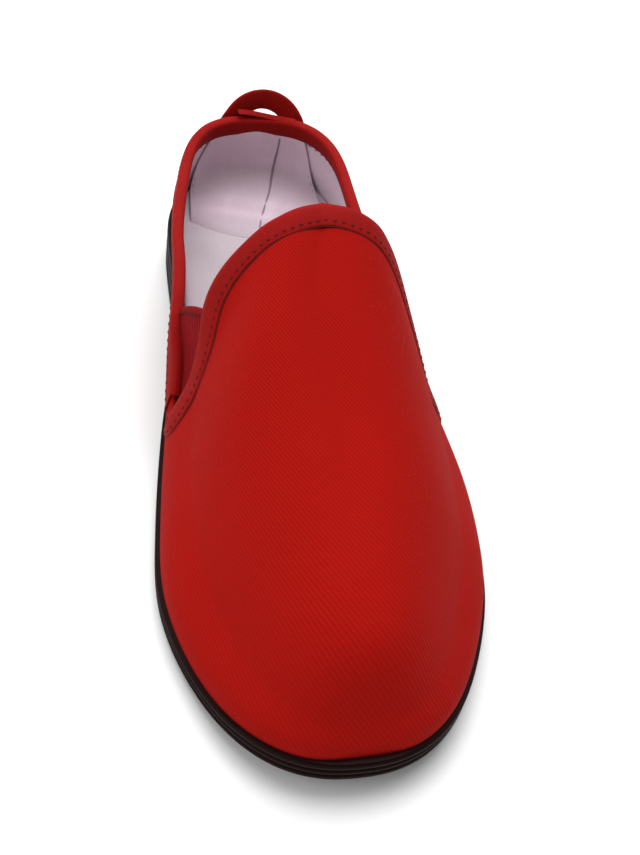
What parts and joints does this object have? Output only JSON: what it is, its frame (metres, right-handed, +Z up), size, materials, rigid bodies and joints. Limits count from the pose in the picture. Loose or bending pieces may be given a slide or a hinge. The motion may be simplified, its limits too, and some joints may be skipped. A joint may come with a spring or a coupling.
{
  "type": "slip-on cloth shoe",
  "caption": "Left slip-on canvas shoe with a rounded vamp, elastic side gussets, bound edges, a heel pull loop and a thin ribbed rubber sole.",
  "frame": {"origin": "on the floor under the middle of the shoe's bounding box", "axes": "+Z up, -Y towards the toe, +Y towards the heel, -X towards the inner side of the foot"},
  "size_m": [0.1064, 0.263, 0.0876],
  "materials": {
    "outsole": "satin",
    "insole": "matte",
    "upper": "matte",
    "gusset": "matte",
    "binding": "matte"
  },
  "bodies": {
    "root": {"outsole": "outsole", "insole": "insole", "upper": "upper", "gusset_inner": "gusset", "gusset_outer": "gusset", "vamp_binding": "binding", "collar_binding": "binding", "pull_loop": "binding"}
  },
  "joints": []
}
